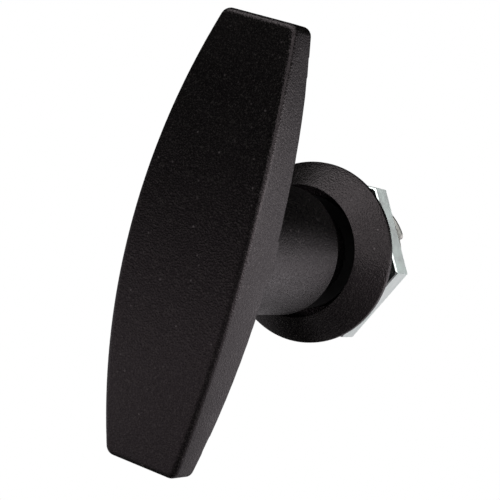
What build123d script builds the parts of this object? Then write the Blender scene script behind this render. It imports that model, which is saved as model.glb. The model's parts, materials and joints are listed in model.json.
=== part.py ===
from build123d import *
from math import atan2, ceil, cos, radians, tan
import os

os.makedirs("parts", exist_ok=True)

# Quarter-turn latch with a T-shaped grip. Lengths are in millimetres, angles in degrees.
# Y is the latch's axis: the user stands at -Y, and y = 0 is the outer face of the panel.
# Z is up and runs along the grip of a closed latch, whose cam points to -X.
# Angles about the axis are counted from +X towards +Z, as the user sees them.

# Counts and turns
hexagon_sides = 6
half_turn = 180.0

# Clearances shared by the fits
running_gap = 0.05
slip_gap = 0.1
stop_gap_angle = 0.5

# Grip, boss and neck, one casting
grip_length = 75.2
grip_middle_width = 22.5
grip_end_width = 13.8
grip_middle_thickness = 9.5
grip_end_thickness = 5.6
grip_standoff = 33.1
grip_corner_radius = 1.7
grip_front_radius = 1.25
grip_back_radius = 0.6
boss_diameter = 22.4
boss_standoff = 11.3
boss_flare_radius = 0.6
boss_edge_radius = 0.2
neck_diameter = 16.0

# Spindle
spindle_diameter = 12.0
spindle_standoff = 29.4
spindle_front_gap = 0.5
spindle_chamfer = 0.6
square_width = 8.0
square_corner_radius = 0.4

# Slotted pin through the boss and the spindle
pin_diameter = 3.0
pin_wall = 0.5
pin_length = 16.0
pin_from_boss_end = 9.0
pin_recess = 0.5
pin_slot = 0.8

# Housing: collar, cup and threaded body
collar_diameter = 32.0
collar_height = 6.25
collar_rim = 1.0
collar_edge_radius = 0.3
cup_edge_radius = 0.1
cup_diameter = 23.0
cup_floor_height = 1.5
thread_diameter = 22.0
thread_pitch = 1.5
thread_depth = 0.92
thread_mouth_share = 7 / 8
thread_root_share = 1 / 4
thread_start = 1.2
thread_end_chamfer = 0.6
body_depth = 14.0
body_flat_depth = 0.95

# End stops on the housing's tail
swing_angle = 90.0
stop_height = 2.5
stop_inner_diameter = 17.2
stop_start_angle = 33.0
stop_sweep = 57.0
stop_corner_radius = 0.8

# Flanged bush in the cup floor
bush_outer_diameter = 14.0
bush_depth = 4.5
bush_flange_diameter = 20.0
bush_flange_thickness = 1.0

# Seal ring on the spindle
seal_section = 1.5
seal_depth = 7.0
seal_side_gap = 0.2

# Flat gasket let into the back of the collar
gasket_inner_diameter = 24.8
gasket_outer_diameter = 28.8
gasket_thickness = 0.8

# Mounting nut
nut_across_flats = 27.0
nut_depth = 3.6
nut_thickness = 4.4
nut_turn = 3.0
nut_corner_chamfer = 0.4
nut_edge_chamfer = 0.2

# Curved spring washer, stop washer and retaining ring behind the body
spring_washer_thickness = 0.3
spring_washer_height = 0.6
spring_washer_outer_diameter = 16.4
stop_washer_thickness = 1.5
retaining_ring_thickness = 0.8
retaining_ring_outer_diameter = 13.6
retaining_groove_diameter = 8.8
retaining_ring_mouth = 7.6

# Cam
cam_reach = 45.0
cam_width = 16.0
cam_thickness = 3.0
cam_crank = 4.0
cam_crank_start = 13.0
cam_crank_run = 6.0
cam_bend_radius = 1.5
cam_tip_radius = 4.0

# Screw, plain washer and split washer that hold the cam
screw_diameter = 5.0
screw_length = 12.0
screw_head_across_flats = 8.0
screw_head_height = 3.5
screw_edge_chamfer = 0.1
screw_corner_chamfer = 0.3
screw_tip_chamfer = 0.5
screw_hole_spare = 1.0
spindle_end_recess = 0.2
plain_washer_thickness = 1.0
plain_washer_diameter = 10.0
split_washer_thickness = 1.2
split_washer_diameter = 8.8
split_washer_gap = 0.5

# Depths along the axis, worked out from the sizes above
bush_front = -cup_floor_height - bush_flange_thickness
neck_back = bush_front - running_gap
tail_end = body_depth + stop_height
stop_washer_front = body_depth + spring_washer_height
ring_front = stop_washer_front + stop_washer_thickness
cam_front = ring_front + retaining_ring_thickness
cam_back = cam_front + cam_thickness
split_washer_front = cam_back + plain_washer_thickness
screw_head_front = split_washer_front + split_washer_thickness
square_end = cam_back - spindle_end_recess
pin_y = -boss_standoff - pin_from_boss_end

# Radii and widths worked out from the sizes above
boss_radius = boss_diameter / 2
spindle_radius = spindle_diameter / 2
bore_radius = spindle_radius + running_gap
thread_radius = thread_diameter / 2
nut_thread_radius = thread_radius + slip_gap
stop_inner_radius = stop_inner_diameter / 2
stop_washer_radius = stop_inner_radius - slip_gap
body_flats_width = thread_diameter - 2 * body_flat_depth
lug_radius = body_flats_width / 2
screw_radius = screw_diameter / 2
seal_groove_radius = spindle_radius - seal_section


def at(y):
    """A sketch plane across the axis at this depth, facing the user."""
    return Plane.XZ.offset(-y)


def turned(*points):
    """A solid turned about the axis from points of radius and depth."""
    with BuildPart() as solid:
        with BuildSketch(Plane.XY):
            with BuildLine():
                Polyline(*points, close=True)
            make_face()
        revolve(axis=Axis.Y)
    return solid.part


def disc(outer_radius, inner_radius, front, thickness):
    """A flat ring about the axis."""
    with BuildPart() as solid:
        with BuildSketch(at(front + thickness)):
            Circle(outer_radius)
            Circle(inner_radius, mode=Mode.SUBTRACT)
        extrude(amount=thickness)
    return solid.part


def wedge(radius, start_angle, sweep):
    """A slice of a round, from the axis out to the radius."""
    with BuildSketch() as slice_shape:
        with BuildLine():
            rim = CenterArc((0, 0), radius, start_angle, sweep)
            Line((0, 0), rim @ 0)
            Line(rim @ 1, (0, 0))
        make_face()
    return slice_shape.sketch


def rounded_wedge(radius, start_angle, sweep, corner_radius):
    """A slice of a round whose two corners on the rim are rounded."""
    with BuildSketch() as slice_shape:
        add(wedge(radius, start_angle, sweep))
        rim_corners = slice_shape.vertices().sort_by_distance((0, 0))[1:]
        fillet(rim_corners, corner_radius)
    return slice_shape.sketch


def hexagon(across_flats, front, thickness, turn, chamfer_width, edge_width):
    """A hexagonal prism whose edges are broken and whose corners are turned off at both ends."""
    back = front + thickness
    corner_radius = across_flats / 2 / cos(radians(half_turn / hexagon_sides))
    face_radius = corner_radius - chamfer_width
    chamfer_depth = chamfer_width * tan(radians(half_turn / hexagon_sides))
    with BuildPart() as solid:
        with BuildSketch(at(back)):
            RegularPolygon(across_flats / 2, hexagon_sides, major_radius=False, rotation=turn)
        extrude(amount=thickness)
        ends = solid.faces().filter_by(Axis.Y)
        chamfer(ends.edges(), edge_width)
        add(
            turned(
                (0, front),
                (face_radius, front),
                (corner_radius, front + chamfer_depth),
                (corner_radius, back - chamfer_depth),
                (face_radius, back),
                (0, back),
            ),
            mode=Mode.INTERSECT,
        )
    return solid.part


def grip_outline():
    """The grip as the user sees it: straight ends, bowed sides and rounded corners."""
    half_length = grip_length / 2
    half_end = grip_end_width / 2
    with BuildSketch() as outline:
        with BuildLine():
            side = ThreePointArc(
                (half_end, -half_length), (grip_middle_width / 2, 0), (half_end, half_length)
            )
            mirror(side, about=Plane.YZ)
            Line(side @ 0, (-half_end, -half_length))
            Line(side @ 1, (-half_end, half_length))
        make_face()
        fillet(outline.vertices(), grip_corner_radius)
    return outline.sketch


def thread_grooves(crest_radius, root_radius, first, last, side_gap):
    """Sketch of the V grooves that lie between the depths first and last, one to each pitch."""
    crest_half = thread_pitch * thread_mouth_share / 2 - side_gap
    root_half = thread_pitch * thread_root_share / 2 - side_gap
    count = int((last - first) / thread_pitch) + 1
    with BuildSketch(Plane.XY) as grooves:
        for turn in range(count):
            y = first + turn * thread_pitch
            with BuildLine():
                Polyline(
                    (crest_radius, y - crest_half),
                    (root_radius, y - root_half),
                    (root_radius, y + root_half),
                    (crest_radius, y + crest_half),
                    close=True,
                )
            make_face()
    return grooves.sketch


# The boss flares into the back of the grip and is trimmed flush with the grip's bowed sides.
with BuildPart() as boss:
    with BuildSketch(Plane.XY):
        with BuildLine():
            wall = Line((boss_radius, -boss_standoff), (boss_radius, boss_flare_radius - grip_standoff))
            flare = TangentArc(
                wall @ 1, (boss_radius + boss_flare_radius, -grip_standoff), tangent=wall % 1
            )
            Polyline(
                flare @ 1,
                (boss_radius + boss_flare_radius, -grip_standoff - grip_back_radius),
                (0, -grip_standoff - grip_back_radius),
                (0, -boss_standoff),
                wall @ 0,
            )
        make_face()
    revolve(axis=Axis.Y)
    with BuildSketch(at(-boss_standoff)):
        add(grip_outline())
    extrude(amount=grip_standoff + grip_back_radius - boss_standoff, mode=Mode.INTERSECT)

# The grip's back is flat, and its front is domed along its length.
with BuildPart() as t_handle:
    with BuildSketch(at(-grip_standoff)):
        add(grip_outline())
    extrude(amount=grip_middle_thickness)
    with BuildSketch(Plane.YZ):
        with BuildLine():
            dome = ThreePointArc(
                (-grip_standoff - grip_end_thickness, -grip_length / 2),
                (-grip_standoff - grip_middle_thickness, 0),
                (-grip_standoff - grip_end_thickness, grip_length / 2),
            )
            Polyline(
                dome @ 1,
                (-grip_standoff, grip_length / 2),
                (-grip_standoff, -grip_length / 2),
                dome @ 0,
            )
        make_face()
    extrude(amount=grip_middle_width / 2, both=True, mode=Mode.INTERSECT)
    fillet(t_handle.faces().sort_by(Axis.Y)[0].edges(), grip_front_radius)
    fillet(t_handle.faces().sort_by(Axis.Y)[-1].edges(), grip_back_radius)
    add(boss.part)
    fillet(t_handle.faces().sort_by(Axis.Y)[-1].edges(), boss_edge_radius)
    with BuildSketch(at(neck_back)):
        Circle(neck_diameter / 2)
    extrude(amount=neck_back + boss_standoff)
    with BuildSketch(at(neck_back)):
        Circle(spindle_radius)
    extrude(amount=neck_back + spindle_standoff + spindle_front_gap, mode=Mode.SUBTRACT)
    with BuildSketch(Plane.YZ.offset(-boss_radius)):
        with Locations((pin_y, 0)):
            Circle(pin_diameter / 2)
    extrude(amount=pin_recess + pin_length, mode=Mode.SUBTRACT)
t_handle.part.label = "t_handle"

# The pin is driven in from the cam's side and is hidden from the other side.
with BuildPart() as handle_pin:
    with BuildSketch(Plane.YZ.offset(pin_recess - boss_radius)):
        with Locations((pin_y, 0)):
            Circle(pin_diameter / 2)
            Circle(pin_diameter / 2 - pin_wall, mode=Mode.SUBTRACT)
        with Locations((pin_y + pin_diameter / 2, 0)):
            Rectangle(pin_diameter, pin_slot, mode=Mode.SUBTRACT)
    extrude(amount=pin_length)
handle_pin.part.label = "handle_pin"

# One round bar from inside the grip to the tail, then the square that the cam sits on.
with BuildPart() as spindle:
    seal_front = seal_depth - seal_side_gap
    seal_back = seal_depth + seal_section + seal_side_gap
    add(
        turned(
            (0, -spindle_standoff),
            (spindle_radius - spindle_chamfer, -spindle_standoff),
            (spindle_radius, spindle_chamfer - spindle_standoff),
            (spindle_radius, seal_front),
            (seal_groove_radius, seal_front),
            (seal_groove_radius, seal_back),
            (spindle_radius, seal_back),
            (spindle_radius, stop_washer_front),
            (0, stop_washer_front),
        )
    )
    with BuildSketch(at(square_end)) as square:
        Rectangle(square_width, square_width)
        fillet(square.vertices(), square_corner_radius)
    extrude(amount=square_end - stop_washer_front)
    with BuildSketch(at(cam_front)):
        Circle(spindle_radius)
        Circle(retaining_groove_diameter / 2, mode=Mode.SUBTRACT)
    extrude(amount=retaining_ring_thickness, mode=Mode.SUBTRACT)
    with BuildSketch(at(square_end)):
        Circle(screw_radius)
    extrude(amount=screw_length - screw_head_front + square_end + screw_hole_spare, mode=Mode.SUBTRACT)
    with BuildSketch(Plane.YZ.offset(-spindle_radius)):
        with Locations((pin_y, 0)):
            Circle(pin_diameter / 2)
    extrude(amount=spindle_diameter, mode=Mode.SUBTRACT)
spindle.part.label = "spindle"

# The seal ring fills its groove to just short of the bore.
with BuildPart() as spindle_seal:
    with BuildSketch(Plane.XY):
        with Locations((seal_groove_radius + seal_section / 2, seal_depth + seal_section / 2)):
            Circle(seal_section / 2)
    revolve(axis=Axis.Y)
spindle_seal.part.label = "spindle_seal"

with BuildPart() as flanged_bush:
    add(
        turned(
            (bore_radius, bush_front),
            (bush_flange_diameter / 2, bush_front),
            (bush_flange_diameter / 2, -cup_floor_height),
            (bush_outer_diameter / 2, -cup_floor_height),
            (bush_outer_diameter / 2, bush_depth),
            (bore_radius, bush_depth),
        )
    )
flanged_bush.part.label = "flanged_bush"

# The collar's face is a cone from the rim to the cup's edge. The body's thread is cut as level
# grooves, its two flats key it into the panel, and two raised stops stand on its tail.
with BuildPart() as housing:
    with BuildSketch(Plane.XY) as section:
        with BuildLine():
            Polyline(
                (bush_outer_diameter / 2, -cup_floor_height),
                (cup_diameter / 2, -cup_floor_height),
                (cup_diameter / 2, -collar_height),
                (collar_diameter / 2, -collar_rim),
                (collar_diameter / 2, 0),
                (thread_radius, 0),
                (thread_radius, tail_end - thread_end_chamfer),
                (thread_radius - thread_end_chamfer, tail_end),
                (bore_radius, tail_end),
                (bore_radius, bush_depth),
                (bush_outer_diameter / 2, bush_depth),
                close=True,
            )
        make_face()
        fillet(section.vertices().sort_by(Axis.Y)[0], cup_edge_radius)
        fillet(section.vertices().sort_by(Axis.X)[-2:], collar_edge_radius)
    revolve(axis=Axis.Y)
    with BuildSketch(at(0)):
        Circle(gasket_outer_diameter / 2)
        Circle(gasket_inner_diameter / 2, mode=Mode.SUBTRACT)
    extrude(amount=gasket_thickness, mode=Mode.SUBTRACT)
    add(
        thread_grooves(thread_radius, thread_radius - thread_depth, thread_start, tail_end - thread_pitch, 0)
    )
    revolve(axis=Axis.Y, mode=Mode.SUBTRACT)
    with BuildSketch(at(tail_end)):
        Circle(thread_diameter / 2)
        Rectangle(thread_diameter, body_flats_width, mode=Mode.SUBTRACT)
    extrude(amount=tail_end, mode=Mode.SUBTRACT)
    with BuildSketch(at(tail_end)):
        Circle(thread_diameter)
        for start_angle in (stop_start_angle, stop_start_angle + half_turn):
            stop_shape = rounded_wedge(thread_radius, start_angle, stop_sweep, stop_corner_radius)
            add(stop_shape, mode=Mode.SUBTRACT)
        Circle(stop_inner_radius)
    extrude(amount=stop_height, mode=Mode.SUBTRACT)
housing.part.label = "housing"

with BuildPart() as panel_gasket:
    add(disc(gasket_outer_diameter / 2, gasket_inner_diameter / 2, -gasket_thickness, gasket_thickness))
panel_gasket.part.label = "panel_gasket"

# The nut's thread ridges stand in the body's grooves with a gap on both flanks.
with BuildPart() as mounting_nut:
    add(
        hexagon(
            nut_across_flats,
            nut_depth,
            nut_thickness,
            nut_turn,
            nut_corner_chamfer,
            nut_edge_chamfer,
        )
    )
    with BuildSketch(at(nut_depth + nut_thickness)):
        Circle(nut_thread_radius)
    extrude(amount=nut_thickness, mode=Mode.SUBTRACT)
    first_full_depth = nut_depth + thread_pitch / 2
    turns_before = ceil((first_full_depth - thread_start) / thread_pitch)
    first_ridge = thread_start + turns_before * thread_pitch
    last_ridge = nut_depth + nut_thickness - thread_pitch / 2
    add(
        thread_grooves(
            nut_thread_radius + slip_gap,
            thread_radius - thread_depth + slip_gap,
            first_ridge,
            last_ridge,
            slip_gap,
        )
    )
    revolve(axis=Axis.Y)
mounting_nut.part.label = "mounting_nut"

# The spring washer is bowed about Z. Its ends press on the body and its middle on the stop washer.
with BuildPart() as spring_washer:
    washer_radius = spring_washer_outer_diameter / 2
    with BuildSketch(Plane.XY):
        with BuildLine():
            lower = ThreePointArc(
                (-washer_radius, body_depth + running_gap),
                (0, stop_washer_front - running_gap - spring_washer_thickness),
                (washer_radius, body_depth + running_gap),
            )
            upper = ThreePointArc(
                (-washer_radius, body_depth + running_gap + spring_washer_thickness),
                (0, stop_washer_front - running_gap),
                (washer_radius, body_depth + running_gap + spring_washer_thickness),
            )
            Line(lower @ 0, upper @ 0)
            Line(lower @ 1, upper @ 1)
        make_face()
    extrude(amount=washer_radius, both=True)
    add(
        disc(washer_radius, bore_radius + slip_gap, body_depth, spring_washer_height),
        mode=Mode.INTERSECT,
    )
spring_washer.part.label = "spring_washer"

# Two lugs swing between the housing's stops. At rest each lug is against the stop before it.
with BuildPart() as stop_washer:
    lug_sweep = half_turn - stop_sweep - swing_angle - 2 * stop_gap_angle
    with BuildSketch(at(ring_front)):
        for start_angle in (stop_start_angle, stop_start_angle + half_turn):
            add(wedge(lug_radius, start_angle + stop_sweep + stop_gap_angle, lug_sweep))
        Circle(stop_washer_radius)
        Rectangle(square_width + slip_gap, square_width + slip_gap, mode=Mode.SUBTRACT)
    extrude(amount=stop_washer_thickness)
stop_washer.part.label = "stop_washer"

with BuildPart() as retaining_ring:
    with BuildSketch(at(cam_front)):
        Circle(retaining_ring_outer_diameter / 2)
        Circle(retaining_groove_diameter / 2, mode=Mode.SUBTRACT)
        Rectangle(
            retaining_ring_mouth,
            retaining_ring_outer_diameter,
            align=(Align.CENTER, Align.MAX),
            mode=Mode.SUBTRACT,
        )
    extrude(amount=retaining_ring_thickness)
retaining_ring.part.label = "retaining_ring"

# The cam's arm is cranked towards the panel. Its section is bent first and then cut to its outline.
with BuildPart() as cam:
    bend_shift = cam_thickness * tan(atan2(cam_crank, cam_crank_run) / 2)
    crank_end = cam_crank_start + cam_crank_run
    outer_bend_radius = cam_bend_radius + cam_thickness
    with BuildSketch(Plane.XY):
        with BuildLine():
            front_face = FilletPolyline(
                (cam_width / 2, cam_front),
                (-cam_crank_start, cam_front),
                (-crank_end, cam_front - cam_crank),
                (-cam_reach, cam_front - cam_crank),
                radius=[cam_bend_radius, outer_bend_radius],
            )
            back_face = FilletPolyline(
                (cam_width / 2, cam_back),
                (-cam_crank_start - bend_shift, cam_back),
                (-crank_end - bend_shift, cam_back - cam_crank),
                (-cam_reach, cam_back - cam_crank),
                radius=[outer_bend_radius, cam_bend_radius],
            )
            Line(front_face @ 0, back_face @ 0)
            Line(front_face @ 1, back_face @ 1)
        make_face()
    extrude(amount=cam_width / 2, both=True)
    with BuildSketch(at(cam_back)) as outline:
        Rectangle(cam_reach, cam_width, align=(Align.MAX, Align.CENTER))
        fillet(outline.vertices().group_by(Axis.X)[0], cam_tip_radius)
        Circle(cam_width / 2)
        Rectangle(square_width + slip_gap, square_width + slip_gap, mode=Mode.SUBTRACT)
    extrude(amount=cam_thickness + cam_crank, mode=Mode.INTERSECT)
cam.part.label = "cam"

with BuildPart() as cam_washer:
    add(disc(plain_washer_diameter / 2, screw_radius + slip_gap, cam_back, plain_washer_thickness))
cam_washer.part.label = "cam_washer"

with BuildPart() as split_washer:
    add(disc(split_washer_diameter / 2, screw_radius + slip_gap, split_washer_front, split_washer_thickness))
    with BuildSketch(at(screw_head_front)):
        Rectangle(split_washer_gap, split_washer_diameter, align=(Align.CENTER, Align.MIN))
    extrude(amount=split_washer_thickness, mode=Mode.SUBTRACT)
split_washer.part.label = "split_washer"

with BuildPart() as cam_screw:
    add(
        hexagon(
            screw_head_across_flats,
            screw_head_front,
            screw_head_height,
            0,
            screw_corner_chamfer,
            screw_edge_chamfer,
        )
    )
    add(
        turned(
            (0, screw_head_front - screw_length),
            (screw_radius - screw_tip_chamfer, screw_head_front - screw_length),
            (screw_radius, screw_head_front - screw_length + screw_tip_chamfer),
            (screw_radius, screw_head_front),
            (0, screw_head_front),
        )
    )
cam_screw.part.label = "cam_screw"

for piece in (
    t_handle,
    handle_pin,
    spindle,
    spindle_seal,
    flanged_bush,
    housing,
    panel_gasket,
    mounting_nut,
    spring_washer,
    stop_washer,
    retaining_ring,
    cam,
    cam_washer,
    split_washer,
    cam_screw,
):
    export_step(piece.part, "parts/" + piece.part.label + ".step")
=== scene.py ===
import bpy
import json
import math
from mathutils import Matrix, Vector


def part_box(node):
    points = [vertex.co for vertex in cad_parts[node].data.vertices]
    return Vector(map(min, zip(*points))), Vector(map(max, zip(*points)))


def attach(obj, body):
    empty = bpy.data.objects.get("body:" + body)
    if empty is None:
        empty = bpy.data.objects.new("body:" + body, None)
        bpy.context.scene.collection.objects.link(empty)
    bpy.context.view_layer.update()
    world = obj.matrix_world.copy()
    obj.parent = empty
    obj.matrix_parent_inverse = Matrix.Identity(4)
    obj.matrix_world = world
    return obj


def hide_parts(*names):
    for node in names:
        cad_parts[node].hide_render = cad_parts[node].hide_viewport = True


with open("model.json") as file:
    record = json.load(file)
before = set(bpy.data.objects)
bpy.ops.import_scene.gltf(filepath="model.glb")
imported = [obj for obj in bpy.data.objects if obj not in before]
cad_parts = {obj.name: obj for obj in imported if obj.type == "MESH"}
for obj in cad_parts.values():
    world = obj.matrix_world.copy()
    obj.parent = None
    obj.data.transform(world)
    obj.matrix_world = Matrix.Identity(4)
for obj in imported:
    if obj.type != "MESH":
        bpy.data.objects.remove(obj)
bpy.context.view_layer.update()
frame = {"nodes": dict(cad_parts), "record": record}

# The finishes of a quarter-turn latch with a T-shaped grip, its camera and its light. Lengths are in
# metres, and azimuths run from the user's side, through the right, to the back of the panel.
MILLIMETRE = 0.001
PANEL_FACE_Y = 0.0

# Joining a CAD node's triangles, and the largest angle between faces that are shaded as one curve.
WELD_DISTANCE = 0.0005 * MILLIMETRE
SMOOTH_UNDER_DEGREES = 15.0

# Nearly all of a noise texture's values lie between these two.
NOISE_LOW, NOISE_HIGH = 0.3, 0.7

# Powder coat: sizes of its pattern, the grain values between which it lightens, how far a crest's
# painted glint reaches (a light speck painted into the colour where a crest would catch the light),
# which few crests have one, and its gloss and relief.
COAT_GRAIN_MM = 0.26
COAT_LUMP_MM = 0.40
COAT_CREST_MM = 0.7
COAT_CLOUD_MM = 9.0
COAT_DARK_AT, COAT_LIGHT_AT = 0.49, 0.74
COAT_PAINTED_GLINT_REACH = {"From Min": 0.34, "From Max": 0.10}
COAT_GLINT_CRESTS = {"From Min": 0.94, "From Max": 1.0}
COAT_ROUGHNESS = {"From Min": NOISE_LOW, "From Max": NOISE_HIGH, "To Min": 0.58, "To Max": 0.66}
COAT_GRAIN_ROUGHNESS = -0.80
COAT_LUMP_SHARE = 0.4
COAT_RELIEF = 0.060 * MILLIMETRE
COAT_IOR = 1.38
COAT_WRAP = 0.15 * MILLIMETRE

# Metals, rubber and acetal: low grains, and how their gloss varies.
PLATING_CLOUD_MM = 3.5
PLATING_GRAIN_MM = 0.25
DULL_SHARE, BRIGHT_SHARE = 1.2, 0.85
PRESSED_ROUGHNESS = 0.18
NUT_EDGE_BREAK = 0.22 * MILLIMETRE
ZINC_GRAIN_MM = 0.8
ZINC_ROUGHNESS = 0.45
METAL_GRAIN_STRENGTH = 0.12
MOULDED_GLOSS_SPREAD = 0.06
LOW_RELIEF = 0.02 * MILLIMETRE


def linear(hex_colour):
    """An sRGB hex colour as linear RGBA."""
    channels = [int(hex_colour[i:i + 2], 16) / 255 for i in (1, 3, 5)]
    return [c / 12.92 if c <= 0.04045 else ((c + 0.055) / 1.055) ** 2.4 for c in channels] + [1.0]


def per_millimetre(size):
    """The scale of a texture whose features are this many millimetres across."""
    return 1 / (size * MILLIMETRE)


def new_material(name):
    """A node material with no nodes yet."""
    material = bpy.data.materials.new(name)
    material.use_nodes = True
    material.node_tree.nodes.clear()
    return material


def add_node(material, kind, sockets=None, links=None, **properties):
    """Adds a shader node, sets its properties and its sockets' values, and links its inputs."""
    tree = material.node_tree
    node = tree.nodes.new("ShaderNode" + kind)
    for name, value in properties.items():
        setattr(node, name, value)
    for socket, value in (sockets or {}).items():
        node.inputs[socket].default_value = value
    for socket, source in (links or {}).items():
        tree.links.new(source, node.inputs[socket])
    return node


def finish_material(material, shader):
    """Links the shader to a material output."""
    add_node(material, "OutputMaterial", links={"Surface": shader.outputs[0]})
    return material


def powder_coat_shader(material):
    """Fine-textured polyester powder coat: black and half matt. Its grain of a few tenths of a
    millimetre breaks up what it mirrors, and here and there a crest has a painted glint: a light
    speck painted into the colour where the crest would catch the light."""
    place = add_node(material, "TexCoord")
    grain = add_node(
        material, "TexNoise",
        {"Scale": per_millimetre(COAT_GRAIN_MM), "Detail": 1.0, "Roughness": 0.5},
        {"Vector": place.outputs["Object"]},
    )
    lumps = add_node(
        material, "TexVoronoi",
        {"Scale": per_millimetre(COAT_LUMP_MM), "Randomness": 1.0},
        {"Vector": place.outputs["Object"]},
        feature="F1",
    )
    clouds = add_node(
        material, "TexNoise",
        {"Scale": per_millimetre(COAT_CLOUD_MM), "Detail": 3.0},
        {"Vector": place.outputs["Object"]},
    )
    crests = add_node(
        material, "TexVoronoi",
        {"Scale": per_millimetre(COAT_CREST_MM), "Randomness": 1.0},
        {"Vector": place.outputs["Object"]},
        feature="F1",
    )
    tint = add_node(material, "ValToRGB", links={"Fac": grain.outputs["Fac"]})
    tint.color_ramp.elements[0].position = COAT_DARK_AT
    tint.color_ramp.elements[0].color = linear("#030303")
    tint.color_ramp.elements[1].position = COAT_LIGHT_AT
    tint.color_ramp.elements[1].color = linear("#262423")
    # Painted glints: a few random crests are lightened in the base colour, standing in for crests that
    # catch the light.
    glint_reach = add_node(
        material, "MapRange", COAT_PAINTED_GLINT_REACH, {"Value": crests.outputs["Distance"]}
    )
    crest_parts = add_node(material, "SeparateColor", links={"Color": crests.outputs["Color"]})
    glinting_crest = add_node(
        material, "MapRange", COAT_GLINT_CRESTS, {"Value": crest_parts.outputs["Red"]}
    )
    painted_glint = add_node(
        material, "Math",
        links={0: glint_reach.outputs["Result"], 1: glinting_crest.outputs["Result"]},
        operation="MULTIPLY",
    )
    glint_painted_colour = add_node(
        material, "Mix", {"B": linear("#504B4C")},
        {"Factor": painted_glint.outputs["Value"], "A": tint.outputs["Color"]},
        data_type="RGBA",
    )
    cloudy_gloss = add_node(
        material, "MapRange", COAT_ROUGHNESS, {"Value": clouds.outputs["Fac"]}
    )
    gloss = add_node(
        material, "Math", {1: COAT_GRAIN_ROUGHNESS},
        {0: grain.outputs["Fac"], 2: cloudy_gloss.outputs["Result"]},
        operation="MULTIPLY_ADD",
    )
    height = add_node(
        material, "Math", {1: COAT_LUMP_SHARE},
        {0: lumps.outputs["Distance"], 2: grain.outputs["Fac"]},
        operation="MULTIPLY_ADD",
    )
    bumps = add_node(
        material, "Bump", {"Strength": 1.0, "Distance": COAT_RELIEF},
        {"Height": height.outputs["Value"]},
    )
    return add_node(
        material, "BsdfPrincipled", {"IOR": COAT_IOR, "Specular Tint": linear("#FFEDF2")},
        {
            "Base Color": glint_painted_colour.outputs["Result"],
            "Roughness": gloss.outputs["Value"],
            "Normal": bumps.outputs["Normal"],
        },
    )


def powder_coat():
    """The grip's casting, coated all over: even black with a fine grain."""
    material = new_material("black_fine_textured_powder_coat")
    return finish_material(material, powder_coat_shader(material))


def plated_steel(name, bright, dull, roughness, smooth_before=None):
    """Electroplated zinc on steel: bright or dark, and cloudy where the plating varies in thickness.
    What lies nearer the user than smooth_before was pressed flat and mirrors more sharply."""
    material = new_material(name)
    place = add_node(material, "TexCoord")
    clouds = add_node(
        material, "TexNoise",
        {"Scale": per_millimetre(PLATING_CLOUD_MM), "Detail": 4.0, "Roughness": 0.6},
        {"Vector": place.outputs["Object"]},
    )
    tint = add_node(material, "ValToRGB", links={"Fac": clouds.outputs["Fac"]})
    tint.color_ramp.elements[0].position = NOISE_LOW
    tint.color_ramp.elements[0].color = linear(dull)
    tint.color_ramp.elements[1].position = NOISE_HIGH
    tint.color_ramp.elements[1].color = linear(bright)
    gloss = add_node(
        material, "MapRange",
        {
            "From Min": NOISE_LOW,
            "From Max": NOISE_HIGH,
            "To Min": roughness * DULL_SHARE,
            "To Max": roughness * BRIGHT_SHARE,
        },
        {"Value": clouds.outputs["Fac"]},
    )
    if smooth_before is not None:
        across = add_node(material, "SeparateXYZ", links={"Vector": place.outputs["Object"]})
        pressed = add_node(
            material, "Math", {1: smooth_before}, {0: across.outputs["Y"]}, operation="LESS_THAN"
        )
        gloss = add_node(
            material, "MapRange", {"To Max": PRESSED_ROUGHNESS},
            {"Value": pressed.outputs["Value"], "To Min": gloss.outputs["Result"]},
        )
    grain = add_node(
        material, "TexNoise",
        {"Scale": per_millimetre(PLATING_GRAIN_MM), "Detail": 2.0},
        {"Vector": place.outputs["Object"]},
    )
    bumps = add_node(
        material, "Bump", {"Strength": METAL_GRAIN_STRENGTH, "Distance": LOW_RELIEF},
        {"Height": grain.outputs["Fac"]},
    )
    shader = add_node(
        material, "BsdfPrincipled", {"Metallic": 1.0},
        {
            "Base Color": tint.outputs["Color"],
            "Roughness": gloss.outputs["Result"],
            "Normal": bumps.outputs["Normal"],
        },
    )
    return finish_material(material, shader)


def bare_zinc_shader(material):
    """Bare zinc as it leaves the die: satin, faintly warm, with a soft low grain."""
    place = add_node(material, "TexCoord")
    grain = add_node(
        material, "TexNoise",
        {"Scale": per_millimetre(ZINC_GRAIN_MM), "Detail": 2.0},
        {"Vector": place.outputs["Object"]},
    )
    bumps = add_node(
        material, "Bump", {"Strength": METAL_GRAIN_STRENGTH, "Distance": LOW_RELIEF},
        {"Height": grain.outputs["Fac"]},
    )
    tint = add_node(material, "ValToRGB", links={"Fac": grain.outputs["Fac"]})
    tint.color_ramp.elements[0].position = NOISE_LOW
    tint.color_ramp.elements[0].color = linear("#C6C6C1")
    tint.color_ramp.elements[1].position = NOISE_HIGH
    tint.color_ramp.elements[1].color = linear("#D3D3CE")
    return add_node(
        material, "BsdfPrincipled", {"Metallic": 1.0, "Roughness": ZINC_ROUGHNESS},
        {"Base Color": tint.outputs["Color"], "Normal": bumps.outputs["Normal"]},
    )


def housing_casting():
    """One zinc casting: black grained coat in front of the panel's face, bare satin metal behind it."""
    material = new_material("zinc_casting_coated_in_front")
    coated = powder_coat_shader(material)
    bare = bare_zinc_shader(material)
    place = add_node(material, "TexCoord")
    across = add_node(material, "SeparateXYZ", links={"Vector": place.outputs["Object"]})
    behind = add_node(
        material, "Math", {1: PANEL_FACE_Y + COAT_WRAP}, {0: across.outputs["Y"]},
        operation="GREATER_THAN",
    )
    both = add_node(
        material, "MixShader",
        links={0: behind.outputs["Value"], 1: coated.outputs[0], 2: bare.outputs[0]},
    )
    return finish_material(material, both)


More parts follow.
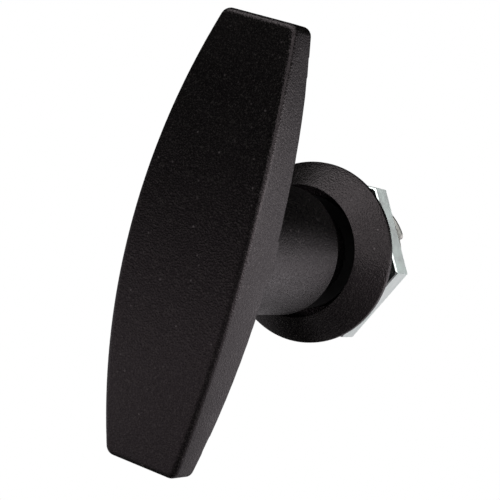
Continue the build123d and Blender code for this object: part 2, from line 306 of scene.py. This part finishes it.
def moulded_black(name, colour, roughness, grain_mm, grain_strength):
    """Black rubber or acetal: even colour, its gloss broken up by a fine moulded grain."""
    material = new_material(name)
    place = add_node(material, "TexCoord")
    grain = add_node(
        material, "TexNoise",
        {"Scale": per_millimetre(grain_mm), "Detail": 2.0},
        {"Vector": place.outputs["Object"]},
    )
    bumps = add_node(
        material, "Bump", {"Strength": grain_strength, "Distance": LOW_RELIEF},
        {"Height": grain.outputs["Fac"]},
    )
    gloss = add_node(
        material, "MapRange",
        {
            "From Min": NOISE_LOW,
            "From Max": NOISE_HIGH,
            "To Min": roughness - MOULDED_GLOSS_SPREAD,
            "To Max": roughness + MOULDED_GLOSS_SPREAD,
        },
        {"Value": grain.outputs["Fac"]},
    )
    shader = add_node(
        material, "BsdfPrincipled", {"Base Color": linear(colour)},
        {"Roughness": gloss.outputs["Result"], "Normal": bumps.outputs["Normal"]},
    )
    return finish_material(material, shader)


def dressed(node, body, material):
    """A copy of a CAD node with its loose triangles joined and its curved faces shaded smooth."""
    bpy.ops.object.select_all(action="DESELECT")
    source = frame["nodes"][node]
    mesh = source.data.copy()
    piece = bpy.data.objects.new(node + "_finished", mesh)
    bpy.context.scene.collection.objects.link(piece)
    piece.select_set(True)
    bpy.context.view_layer.objects.active = piece
    bpy.ops.object.mode_set(mode="EDIT")
    bpy.ops.mesh.select_all(action="SELECT")
    bpy.ops.mesh.customdata_custom_splitnormals_clear()
    bpy.ops.mesh.remove_doubles(threshold=WELD_DISTANCE)
    bpy.ops.object.mode_set(mode="OBJECT")
    bpy.ops.object.shade_smooth_by_angle(angle=math.radians(SMOOTH_UNDER_DEGREES))
    mesh.materials.clear()
    mesh.materials.append(material)
    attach(piece, body)
    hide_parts(node)
    return piece


coat = powder_coat()
casting = housing_casting()
# Bright zinc plating: nearly white and satin, with a smooth pressed face that mirrors dark and light.
nut_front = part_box("mounting_nut")[0][1]
nut_plating = plated_steel(
    "bright_zinc_plated_nut", "#F7FDFB", "#E6F1ED", 0.60, nut_front + NUT_EDGE_BREAK
)
# Plain zinc plating: light grey with a soft shine. Spring steel: the same, but dark grey.
steel_plating = plated_steel("zinc_plated_steel", "#D2D6D4", "#BCC1C0", 0.36)
spring_steel = plated_steel("dark_spring_steel", "#5C5C5E", "#47474A", 0.38)
# Nitrile rubber: matt and nearly black. Acetal: black with a waxy sheen.
rubber = moulded_black("black_nitrile_rubber", "#1B1B1B", 0.72, 0.2, 0.3)
acetal = moulded_black("black_acetal", "#161616", 0.42, 0.15, 0.15)

FINISHES = {
    "t_handle": coat,
    "handle_pin": spring_steel,
    "spindle": steel_plating,
    "spindle_seal": rubber,
    "flanged_bush": acetal,
    "housing": casting,
    "panel_gasket": rubber,
    "mounting_nut": nut_plating,
    "spring_washer": spring_steel,
    "stop_washer": steel_plating,
    "retaining_ring": spring_steel,
    "cam": steel_plating,
    "cam_washer": steel_plating,
    "split_washer": steel_plating,
    "cam_screw": steel_plating,
}
for body, members in frame["record"]["behaviour"]["bodies"].items():
    for member in members:
        dressed(member, body, FINISHES[member])

# The camera stands where the photograph's did, and is rolled about its own axis as that one was.
CAMERA_AZIMUTH = 29.15
CAMERA_ELEVATION = 6.24
CAMERA_ROLL = 15.19
CAMERA_DISTANCE = 0.350
CAMERA_LENS_MM = 139.95
CAMERA_SENSOR_MM = 36.0
CAMERA_CLIP_START = 0.01
LOOKED_AT = Vector((-0.01207, 0.0, -0.00312))


def direction(azimuth, elevation):
    """The unit vector towards a viewer at this azimuth and elevation."""
    around, above = math.radians(azimuth), math.radians(elevation)
    return Vector((
        math.sin(around) * math.cos(above), -math.cos(around) * math.cos(above), math.sin(above)
    ))


def facing(location, azimuth, elevation, roll=0.0):
    """The place and turn of a camera or lamp that stands at the location and looks back along the
    direction."""
    back = direction(azimuth, elevation)
    side = (-back).cross(Vector((0, 0, 1))).normalized()
    up = side.cross(-back)
    turn = math.radians(roll)
    right = side * math.cos(turn) + up * math.sin(turn)
    top = up * math.cos(turn) - side * math.sin(turn)
    matrix = Matrix((right, top, back)).transposed().to_4x4()
    matrix.translation = location
    return matrix


camera_data = bpy.data.cameras.new("photo_camera")
camera_data.lens = CAMERA_LENS_MM
camera_data.sensor_width = CAMERA_SENSOR_MM
camera_data.clip_start = CAMERA_CLIP_START
camera = bpy.data.objects.new("photo_camera", camera_data)
bpy.context.scene.collection.objects.link(camera)
camera.matrix_world = facing(
    LOOKED_AT + direction(CAMERA_AZIMUTH, CAMERA_ELEVATION) * CAMERA_DISTANCE,
    CAMERA_AZIMUTH, CAMERA_ELEVATION, CAMERA_ROLL,
)
bpy.context.scene.camera = camera

# Softboxes: name, azimuth, elevation, distance, width, height, brightness where 1 mirrors as white.
SOFTBOXES = [
    ("softbox_top", 15, 71, 0.9, 1.00, 0.80, 2.2),
    ("softbox_right", 69, 28, 0.9, 0.65, 0.75, 1.6),
    ("softbox_left", 296, 58, 0.9, 0.60, 0.50, 1.3),
    ("softbox_back_right", 112, 3, 0.9, 0.80, 0.30, 3.1),
]
for name, azimuth, elevation, distance, width, height, brightness in SOFTBOXES:
    lamp_data = bpy.data.lights.new(name, "AREA")
    lamp_data.shape = "RECTANGLE"
    lamp_data.size = width
    lamp_data.size_y = height
    lamp_data.energy = math.pi * width * height * brightness
    lamp = bpy.data.objects.new(name, lamp_data)
    bpy.context.scene.collection.objects.link(lamp)
    lamp.matrix_world = facing(direction(azimuth, elevation) * distance, azimuth, elevation)

# The camera sees white all round. Gloss sees a white backdrop behind the latch, brightest towards
# the back right and at the horizon, a dim room in front, and black between and above them. Widths
# are cosines of the angle from an azimuth, and heights are sines of the elevation.
BACKDROP_AZIMUTH = 138
BACKDROP_WIDTH = {"From Min": 0.70, "From Max": 0.96}
BACKDROP_HEIGHT = {"From Min": 0.41, "From Max": 0.0}
BACKDROP_LIGHT = 0.77
DIM_ROOM = {"From Min": -0.2, "From Max": -1.0, "To Max": 0.065}
ROOM_LIGHT = 0.18
GLOSS_WHITE = "#FFF8FD"
world = bpy.data.worlds.new("studio")
bpy.context.scene.world = world
world.use_nodes = True
world.node_tree.nodes.clear()
ray = add_node(world, "LightPath")
way = add_node(world, "TexCoord")
towards = add_node(
    world, "VectorMath", {1: direction(BACKDROP_AZIMUTH, 0)}, {0: way.outputs["Generated"]},
    operation="DOT_PRODUCT",
)
height = add_node(world, "SeparateXYZ", links={"Vector": way.outputs["Generated"]})
behind = add_node(
    world, "MapRange", BACKDROP_WIDTH, {"Value": towards.outputs["Value"]},
    interpolation_type="SMOOTHSTEP",
)
low = add_node(world, "MapRange", BACKDROP_HEIGHT, {"Value": height.outputs["Z"]})
backdrop = add_node(
    world, "Math", links={0: behind.outputs["Result"], 1: low.outputs["Result"]},
    operation="MULTIPLY",
)
room = add_node(world, "Background", {"Color": linear("#FFFFFF"), "Strength": ROOM_LIGHT})
before = add_node(world, "MapRange", DIM_ROOM, {"Value": towards.outputs["Value"]})
dim = add_node(
    world, "Background", {"Color": linear("#FFFFFF")}, {"Strength": before.outputs["Result"]}
)
white = add_node(world, "Background", {"Color": linear("#FFFFFF"), "Strength": 1.0})
bright = add_node(
    world, "Background", {"Color": linear(GLOSS_WHITE), "Strength": BACKDROP_LIGHT}
)
mirrored = add_node(
    world, "MixShader",
    links={0: backdrop.outputs["Value"], 1: dim.outputs[0], 2: bright.outputs[0]},
)
gloss_or_glass = add_node(
    world, "Math", links={0: ray.outputs["Is Glossy Ray"], 1: ray.outputs["Is Transmission Ray"]},
    operation="MAXIMUM",
)
lit = add_node(
    world, "MixShader",
    links={0: gloss_or_glass.outputs["Value"], 1: room.outputs[0], 2: mirrored.outputs[0]},
)
seen = add_node(
    world, "MixShader",
    links={0: ray.outputs["Is Camera Ray"], 1: lit.outputs[0], 2: white.outputs[0]},
)
add_node(world, "OutputWorld", links={"Surface": seen.outputs[0]})

# A pale paper floor well below the latch, which a panel would hold up. For the camera it keeps the
# latch's shadow and whitens away from it. Gloss sees it nearly white far out at the back right,
# light grey at the front left, a darker grey elsewhere, and almost black below the latch. Its
# brightness depends on the metres from the point below the latch, and the widths are cosines.
FLOOR_Z = -0.16
FLOOR_SIZE = 6.0
SHADOW_FADES = {"From Min": 0.05, "From Max": 0.28}
SHADOW_WHITENESS = {"To Min": 0.55, "To Max": 1.0}
WHITE_AZIMUTH = 130
WHITE_WIDTH = {"From Min": 0.30, "From Max": 0.84}
WHITE_BRIGHTNESS = {"From Min": 0.1, "From Max": 0.5, "To Min": 0.3, "To Max": 0.94}
GREY_AZIMUTH = 324
GREY_WIDTH = {"From Min": 0.4, "From Max": 0.92, "To Min": 0.25}
GREY_BRIGHTNESS = {"From Min": 0.4, "From Max": 0.9, "To Min": 0.79, "To Max": 0.36}
BLACK_BELOW = {"From Min": 0.07, "From Max": 0.28, "To Min": 0.06}
bpy.ops.object.select_all(action="DESELECT")
bpy.ops.mesh.primitive_plane_add(size=FLOOR_SIZE, location=(0, 0, FLOOR_Z))
floor = bpy.context.object
floor.name = "studio_floor"
floor_material = new_material("pale_studio_paper")
floor_ray = add_node(floor_material, "LightPath")
floor_place = add_node(floor_material, "TexCoord")
from_latch = add_node(
    floor_material, "VectorMath", links={0: floor_place.outputs["Object"]}, operation="LENGTH"
)
floor_way = add_node(
    floor_material, "VectorMath", links={0: floor_place.outputs["Object"]}, operation="NORMALIZE"
)
floor_behind = add_node(
    floor_material, "VectorMath", {1: direction(WHITE_AZIMUTH, 0)},
    {0: floor_way.outputs["Vector"]}, operation="DOT_PRODUCT",
)
floor_before = add_node(
    floor_material, "VectorMath", {1: direction(GREY_AZIMUTH, 0)},
    {0: floor_way.outputs["Vector"]}, operation="DOT_PRODUCT",
)
past_shadow = add_node(
    floor_material, "MapRange", SHADOW_FADES, {"Value": from_latch.outputs["Value"]},
    interpolation_type="SMOOTHSTEP",
)
white_behind = add_node(
    floor_material, "MapRange", WHITE_WIDTH, {"Value": floor_behind.outputs["Value"]},
    interpolation_type="SMOOTHSTEP",
)
behind_level = add_node(
    floor_material, "MapRange", WHITE_BRIGHTNESS, {"Value": from_latch.outputs["Value"]}
)
lit_behind = add_node(
    floor_material, "Math",
    links={0: white_behind.outputs["Result"], 1: behind_level.outputs["Result"]},
    operation="MULTIPLY",
)
dark_below = add_node(
    floor_material, "MapRange", BLACK_BELOW, {"Value": from_latch.outputs["Value"]}
)
front_level = add_node(
    floor_material, "MapRange", GREY_BRIGHTNESS, {"Value": from_latch.outputs["Value"]}
)
lit_before = add_node(
    floor_material, "MapRange", GREY_WIDTH,
    {"Value": floor_before.outputs["Value"], "To Max": front_level.outputs["Result"]},
    interpolation_type="SMOOTHSTEP",
)
lit_but_below = add_node(
    floor_material, "Math",
    links={0: dark_below.outputs["Result"], 1: lit_before.outputs["Result"]},
    operation="MULTIPLY",
)
gloss_level = add_node(
    floor_material, "Math",
    links={0: lit_behind.outputs["Value"], 1: lit_but_below.outputs["Value"]},
    operation="MAXIMUM",
)
camera_share = add_node(
    floor_material, "MapRange", SHADOW_WHITENESS, {"Value": past_shadow.outputs["Result"]}
)
paper = add_node(floor_material, "BsdfDiffuse", {"Color": linear("#D8D8D5")})
glow = add_node(floor_material, "Emission", {"Color": linear("#FFFFFF"), "Strength": 1.0})
mirrored_floor = add_node(
    floor_material, "Emission", {"Color": linear(GLOSS_WHITE)},
    {"Strength": gloss_level.outputs["Value"]},
)
seen_floor = add_node(
    floor_material, "MixShader",
    links={0: camera_share.outputs["Result"], 1: paper.outputs[0], 2: glow.outputs[0]},
)
floor_for_camera = add_node(
    floor_material, "MixShader",
    links={0: floor_ray.outputs["Is Camera Ray"], 1: paper.outputs[0], 2: seen_floor.outputs[0]},
)
floor_gloss = add_node(
    floor_material, "Math",
    links={0: floor_ray.outputs["Is Glossy Ray"], 1: floor_ray.outputs["Is Transmission Ray"]},
    operation="MAXIMUM",
)
floor_mix = add_node(
    floor_material, "MixShader",
    links={
        0: floor_gloss.outputs["Value"],
        1: floor_for_camera.outputs[0],
        2: mirrored_floor.outputs[0],
    },
)
finish_material(floor_material, floor_mix)
floor.data.materials.append(floor_material)

bpy.context.scene.view_settings.view_transform = "Standard"
